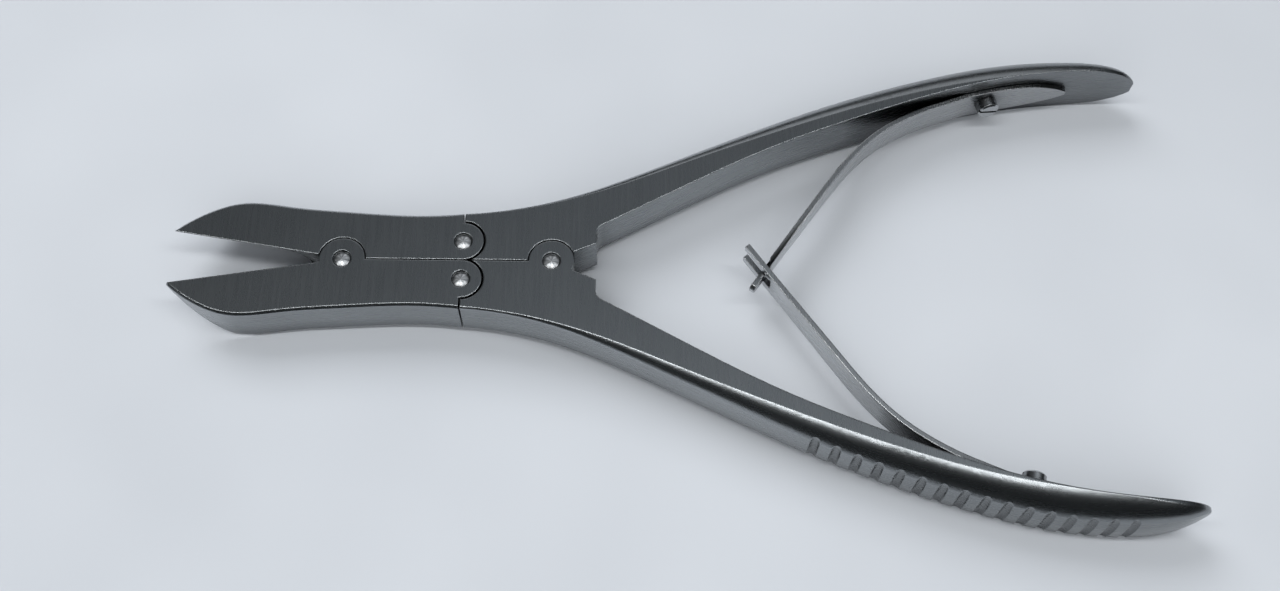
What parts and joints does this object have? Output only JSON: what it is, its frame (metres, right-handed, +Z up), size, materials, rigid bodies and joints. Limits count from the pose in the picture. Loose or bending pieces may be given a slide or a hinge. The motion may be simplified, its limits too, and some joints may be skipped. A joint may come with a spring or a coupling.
{
  "type": "bone cutting forceps",
  "caption": "Straight double-action bone cutting forceps with bevelled blades, pinned compound joint, grooved grips and interlocking leaf springs, shown open.",
  "frame": {"origin": "in the plane under the grips, below the middle of the tool's length and between the handles", "axes": "+X from the blades towards the grips, +Y across towards the upper handle, +Z up, away from the surface the tool lies on"},
  "size_m": [0.1911, 0.0992, 0.0126],
  "materials": {
    "arm_steel": "satin, brushed across the flat faces",
    "pin_steel": "polished",
    "spring_steel": "polished",
    "screw_steel": "polished"
  },
  "bodies": {
    "lower_handle": {"lower_handle": "arm_steel", "handle_pivot_pin": "pin_steel", "lower_link_pin": "pin_steel", "lower_spring_screw": "screw_steel"},
    "upper_handle": {"upper_handle": "arm_steel", "upper_link_pin": "pin_steel", "upper_spring_screw": "screw_steel"},
    "lower_jaw": {"lower_jaw": "arm_steel", "jaw_pivot_pin": "pin_steel"},
    "upper_jaw": {"upper_jaw": "arm_steel"},
    "lower_spring": {"lower_leaf_spring": "spring_steel"},
    "upper_spring": {"upper_leaf_spring": "spring_steel"}
  },
  "joints": [
    {"name": "handle_pivot", "type": "hinge", "parent": "lower_handle", "child": "upper_handle", "pos_m": [-0.02358, 0, 0.0081], "axis": [0, 0, -1], "range_deg": [0, 25.5], "stiffness_Nm_per_rad": 3.1, "springref_deg": -12.03},
    {"name": "upper_jaw_link", "type": "hinge", "parent": "upper_handle", "child": "upper_jaw", "pos_m": [-0.04052, 0.004, 0.0081], "axis": [0, 0, 1], "range_deg": [0, 22.2]},
    {"name": "lower_jaw_link", "type": "hinge", "parent": "lower_handle", "child": "lower_jaw", "pos_m": [-0.04052, -0.004, 0.0081], "axis": [0, 0, -1], "range_deg": [0, 22.2]},
    {"name": "upper_spring_flex", "type": "hinge", "parent": "upper_handle", "child": "upper_spring", "pos_m": [0.05142, 0.0372, 0.0081], "axis": [0, 0, -1], "range_deg": [0, 11.7], "deforming": ["upper_leaf_spring"]},
    {"name": "lower_spring_flex", "type": "hinge", "parent": "lower_handle", "child": "lower_spring", "pos_m": [0.05142, -0.0372, 0.0081], "axis": [0, 0, 1], "range_deg": [0, 11.7], "deforming": ["lower_leaf_spring"]}
  ],
  "couplings": [
    {"joint": "upper_jaw_link", "follows": "handle_pivot", "ratio": 0.8679},
    {"joint": "lower_jaw_link", "follows": "handle_pivot", "ratio": 0.8679},
    {"joint": "upper_spring_flex", "follows": "handle_pivot", "ratio": 0.455},
    {"joint": "lower_spring_flex", "follows": "handle_pivot", "ratio": 0.455}
  ]
}
